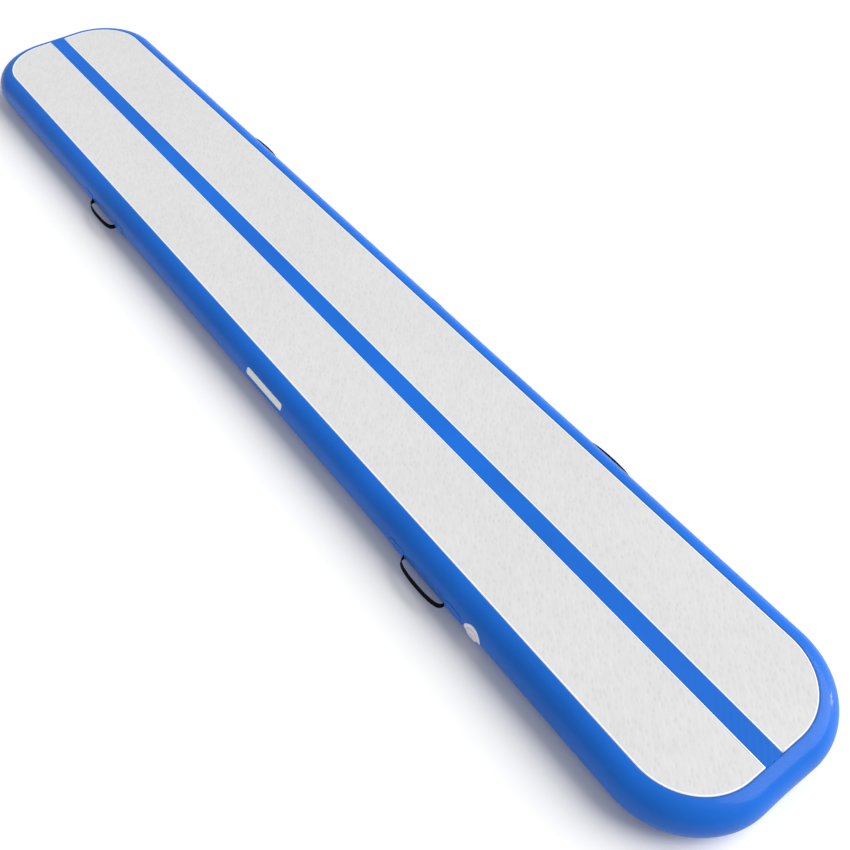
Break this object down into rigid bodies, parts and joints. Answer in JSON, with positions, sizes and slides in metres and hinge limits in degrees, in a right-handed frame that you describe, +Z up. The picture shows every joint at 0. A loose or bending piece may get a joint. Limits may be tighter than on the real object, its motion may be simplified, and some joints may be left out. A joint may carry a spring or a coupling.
{
  "type": "air track mat",
  "caption": "Long inflatable drop-stitch tumbling mat with round blue side walls, two grey landing covers, a blue centre line, webbing carry handles and a screw-capped air valve.",
  "frame": {"origin": "on the floor under the middle of the mat, the bottom centre of the bounding box", "axes": "+X along the mat, towards the end nearer the valve; -Y towards the valve side; +Z up"},
  "size_m": [6.0996, 1.0844, 0.2],
  "materials": {
    "blue_pvc": "semi-gloss coated cloth",
    "grey_landing_cover": "matt, finely quilted",
    "blue_underside": "matt, finely textured",
    "drop_stitch_cloth": "raw woven",
    "clear_pvc_liner": "smooth",
    "white_label": "smooth film",
    "pale_valve_patch": "smooth",
    "valve_plastic": "moulded",
    "valve_button": "moulded",
    "valve_cap_plastic": "moulded",
    "valve_rubber": "soft",
    "spring_steel": "bright",
    "black_webbing": "ribbed webbing"
  },
  "bodies": {
    "mat": {"bottom_cover": "blue_underside", "bottom_skin": "drop_stitch_cloth", "top_skin": "drop_stitch_cloth", "left_landing_cover": "grey_landing_cover", "right_landing_cover": "grey_landing_cover", "centre_line_strip": "blue_pvc", "bottom_seam_tape": "clear_pvc_liner", "top_seam_tape": "clear_pvc_liner", "drop_stitch_yarns": "drop_stitch_cloth", "outer_side_wall": "blue_pvc", "inner_wall_liner": "clear_pvc_liner", "wall_joint_patch": "blue_pvc", "blank_label": "white_label", "valve_seat_patch": "pale_valve_patch", "valve_housing": "valve_plastic", "valve_gasket": "valve_rubber", "valve_back_nut": "valve_plastic", "valve_spring": "spring_steel", "front_left_handle_sewn_ends": "black_webbing", "front_left_handle_patches": "blue_pvc", "back_left_handle_sewn_ends": "black_webbing", "back_left_handle_patches": "blue_pvc", "front_right_handle_sewn_ends": "black_webbing", "front_right_handle_patches": "blue_pvc", "back_right_handle_sewn_ends": "black_webbing", "back_right_handle_patches": "blue_pvc"},
    "front_left_handle": {"front_left_handle_loop": "black_webbing"},
    "back_left_handle": {"back_left_handle_loop": "black_webbing"},
    "front_right_handle": {"front_right_handle_loop": "black_webbing"},
    "back_right_handle": {"back_right_handle_loop": "black_webbing"},
    "cap_carrier": {"cap_leash": "valve_cap_plastic"},
    "cap": {"valve_cap": "valve_cap_plastic", "cap_seal": "valve_rubber"},
    "poppet_carrier": {"spring_retainer": "valve_plastic"},
    "poppet": {"valve_stem": "valve_plastic", "valve_push_button": "valve_button", "poppet_seal": "valve_rubber"}
  },
  "joints": [
    {"name": "front_left_handle_swing", "type": "hinge", "parent": "mat", "child": "front_left_handle", "pos_m": [1.61, -0.50282, 0.08436], "axis": [1, 0, 0], "range_deg": [-70, 75]},
    {"name": "back_left_handle_swing", "type": "hinge", "parent": "mat", "child": "back_left_handle", "pos_m": [-1.3, -0.50282, 0.08436], "axis": [1, 0, 0], "range_deg": [-70, 75]},
    {"name": "front_right_handle_swing", "type": "hinge", "parent": "mat", "child": "front_right_handle", "pos_m": [1.61, 0.50282, 0.08436], "axis": [-1, 0, 0], "range_deg": [-70, 75]},
    {"name": "back_right_handle_swing", "type": "hinge", "parent": "mat", "child": "back_right_handle", "pos_m": [-1.3, 0.50282, 0.08436], "axis": [-1, 0, 0], "range_deg": [-70, 75]},
    {"name": "cap_lift", "type": "slide", "parent": "mat", "child": "cap_carrier", "axis": [0, -0.9936, -0.1132], "range_m": [0, 0.0121]},
    {"name": "cap_unscrew", "type": "hinge", "parent": "cap_carrier", "child": "cap", "pos_m": [1.915, -0.50382, 0.08811], "axis": [0, -0.9936, -0.1132], "range_deg": [0, 720]},
    {"name": "valve_press", "type": "slide", "parent": "mat", "child": "poppet_carrier", "axis": [0, 0.9936, 0.1132], "range_m": [0, 0.006], "stiffness_N_per_m": 400, "springref_m": -0.004, "deforming": ["valve_spring"]},
    {"name": "valve_lock_turn", "type": "hinge", "parent": "poppet_carrier", "child": "poppet", "pos_m": [1.915, -0.50382, 0.08811], "axis": [0, 0.9936, 0.1132], "range_deg": [0, 90]}
  ],
  "couplings": [
    {"joint": "cap_lift", "follows": "cap_unscrew", "m_per_rad": 0.00095493}
  ]
}
